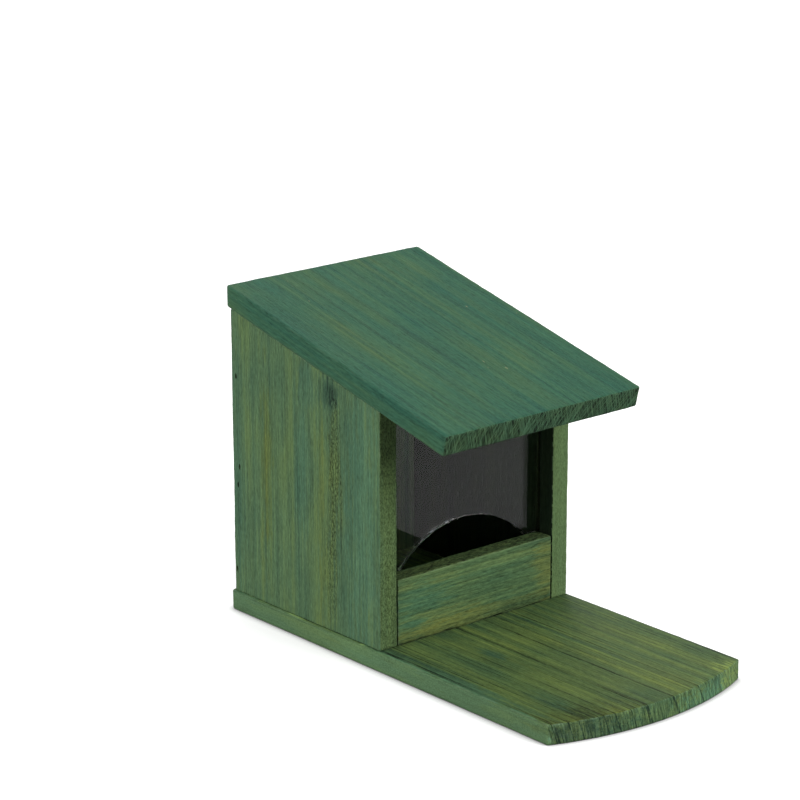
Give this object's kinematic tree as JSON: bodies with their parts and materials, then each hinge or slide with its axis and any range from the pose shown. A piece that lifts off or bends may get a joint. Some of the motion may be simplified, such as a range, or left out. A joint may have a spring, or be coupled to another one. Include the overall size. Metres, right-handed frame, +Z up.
{
  "type": "squirrel feeder box",
  "caption": "Small wooden feeding hopper with a sloping hinged lid, a sliding clear pane with an arched foot, and a base board that reaches forward as a platform.",
  "frame": {"origin": "on the floor plane, under the middle of the whole box's outline", "axes": "+Z up, the front with the feeding platform faces -Y, +X to the viewer's right when facing the front"},
  "size_m": [0.122, 0.247, 0.1657],
  "materials": {
    "stained_boards": "green water-based stain, brushed thin over planed softwood, satin",
    "stained_lid": "blue-green stain over planed softwood, satin",
    "stained_base": "olive green stain over planed softwood, satin",
    "clear_acrylic": "clear cast acrylic sheet, polished faces, sawn edges",
    "zinc_steel": "zinc plated pressed steel",
    "brad_steel": "dull drawn steel"
  },
  "bodies": {
    "case": {"base_board": "stained_base", "left_side": "stained_boards", "right_side": "stained_boards", "back_board": "stained_boards", "front_board": "stained_boards", "hinge_case_leaf": "zinc_steel", "hinge_pin": "zinc_steel", "screw_case_leaf_left": "zinc_steel", "screw_case_leaf_right": "zinc_steel", "brad_left_side_1": "brad_steel", "brad_left_side_2": "brad_steel", "brad_left_side_3": "brad_steel", "brad_left_side_4": "brad_steel", "brad_right_side_1": "brad_steel", "brad_right_side_2": "brad_steel", "brad_right_side_3": "brad_steel", "brad_right_side_4": "brad_steel", "brad_base_to_left_side_1": "brad_steel", "brad_base_to_left_side_2": "brad_steel", "brad_base_to_left_side_3": "brad_steel", "brad_base_to_right_side_1": "brad_steel", "brad_base_to_right_side_2": "brad_steel", "brad_base_to_right_side_3": "brad_steel", "brad_base_to_back_board_left": "brad_steel", "brad_base_to_back_board_right": "brad_steel", "brad_base_to_front_board_left": "brad_steel", "brad_base_to_front_board_right": "brad_steel"},
    "lid": {"lid_board": "stained_lid", "hinge_lid_leaf": "zinc_steel", "screw_lid_leaf_left": "zinc_steel", "screw_lid_leaf_right": "zinc_steel"},
    "window": {"window_pane": "clear_acrylic"}
  },
  "joints": [
    {"name": "lid_hinge", "type": "hinge", "parent": "case", "child": "lid", "pos_m": [0, 0.12125, 0.15298], "axis": [-1, 0, 0], "range_deg": [0, 171]},
    {"name": "window_lift", "type": "slide", "parent": "case", "child": "window", "axis": [0, 0, 1], "range_m": [0, 0.0284]}
  ],
  "couplings": [
    {"joint": "window_lift", "follows": "lid_hinge", "m_per_rad": 0.0095}
  ]
}
